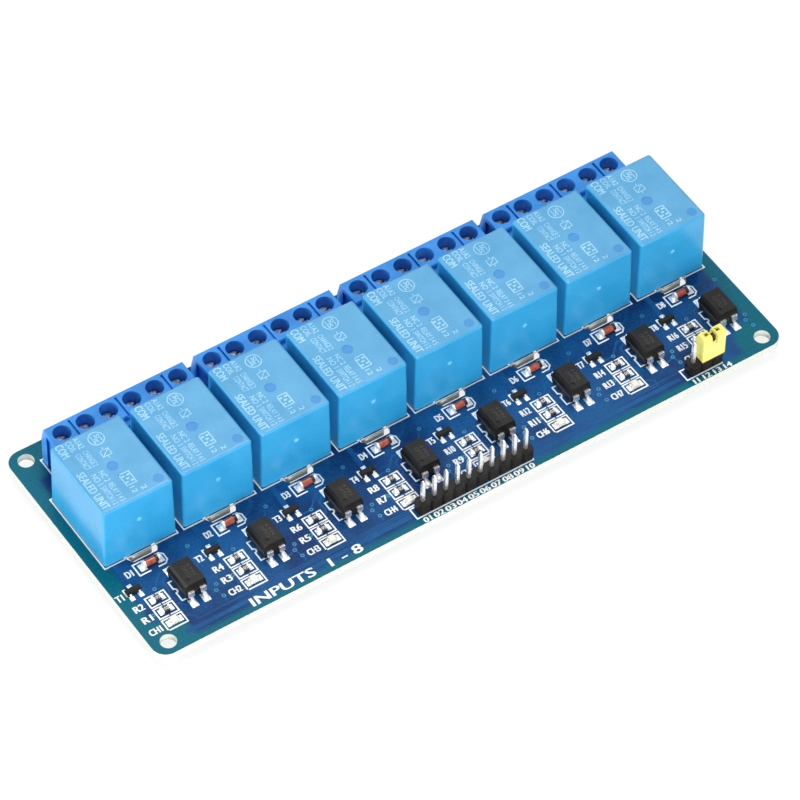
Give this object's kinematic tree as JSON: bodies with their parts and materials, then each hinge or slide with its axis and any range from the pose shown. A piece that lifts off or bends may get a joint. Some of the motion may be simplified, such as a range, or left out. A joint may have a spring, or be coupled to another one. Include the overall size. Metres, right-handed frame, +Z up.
{
  "type": "relay module board",
  "caption": "Relay module board: a row of sealed relays with screw terminals along one long edge and driver parts and pin headers along the other.",
  "frame": {"origin": "middle of the board in plan, at the level of the trimmed lead tips that the board would stand on", "axes": "+X along the row of relays, +Y from the pin headers to the wire side of the screw terminals, +Z up from the board to the relays' tops"},
  "size_m": [0.139, 0.0556, 0.0187],
  "materials": {
    "solder_mask": "gloss blue solder mask over copper",
    "relay_plastic": "satin light blue",
    "terminal_plastic": "satin royal blue",
    "package_resin": "matte black",
    "plated_steel": "bright plated",
    "tinned_copper": "bright tin",
    "amber_glass": "clear amber",
    "resistor_coat": "matte dark coat",
    "lamp_base": "matte ivory",
    "lamp_resin": "clear ivory",
    "header_plastic": "matte black",
    "cap_plastic": "satin pale yellow",
    "spring_brass": "bright brass",
    "solder": "bright solder"
  },
  "bodies": {
    "board": {"pcb": "solder_mask", "relay_case_1": "relay_plastic", "relay_case_2": "relay_plastic", "relay_case_3": "relay_plastic", "relay_case_4": "relay_plastic", "relay_case_5": "relay_plastic", "relay_case_6": "relay_plastic", "relay_case_7": "relay_plastic", "relay_case_8": "relay_plastic", "relay_pins": "tinned_copper", "terminal_housing_1": "terminal_plastic", "terminal_housing_2": "terminal_plastic", "terminal_housing_3": "terminal_plastic", "terminal_housing_4": "terminal_plastic", "terminal_housing_5": "terminal_plastic", "terminal_housing_6": "terminal_plastic", "terminal_housing_7": "terminal_plastic", "terminal_housing_8": "terminal_plastic", "terminal_housing_9": "terminal_plastic", "terminal_housing_10": "terminal_plastic", "terminal_housing_11": "terminal_plastic", "terminal_housing_12": "terminal_plastic", "terminal_screws": "plated_steel", "terminal_clamps": "plated_steel", "terminal_pins": "tinned_copper", "opto_body_1": "package_resin", "opto_body_2": "package_resin", "opto_body_3": "package_resin", "opto_body_4": "package_resin", "opto_body_5": "package_resin", "opto_body_6": "package_resin", "opto_body_7": "package_resin", "opto_body_8": "package_resin", "opto_leads": "tinned_copper", "diode_glass": "amber_glass", "diode_caps": "tinned_copper", "transistor_bodies": "package_resin", "transistor_leads": "tinned_copper", "resistor_bodies": "resistor_coat", "resistor_ends": "tinned_copper", "led_bases": "lamp_base", "led_lenses": "lamp_resin", "input_header_base": "header_plastic", "input_header_pins": "tinned_copper", "selector_header_base": "header_plastic", "selector_header_pins": "tinned_copper", "relay_solder": "solder", "terminal_solder": "solder", "header_solder": "solder"},
    "jumper": {"jumper_cap": "cap_plastic", "jumper_clip": "spring_brass"}
  },
  "joints": [
    {"name": "jumper_pull", "type": "slide", "parent": "board", "child": "jumper", "axis": [0, 0, 1], "range_m": [0, 0.008]}
  ]
}
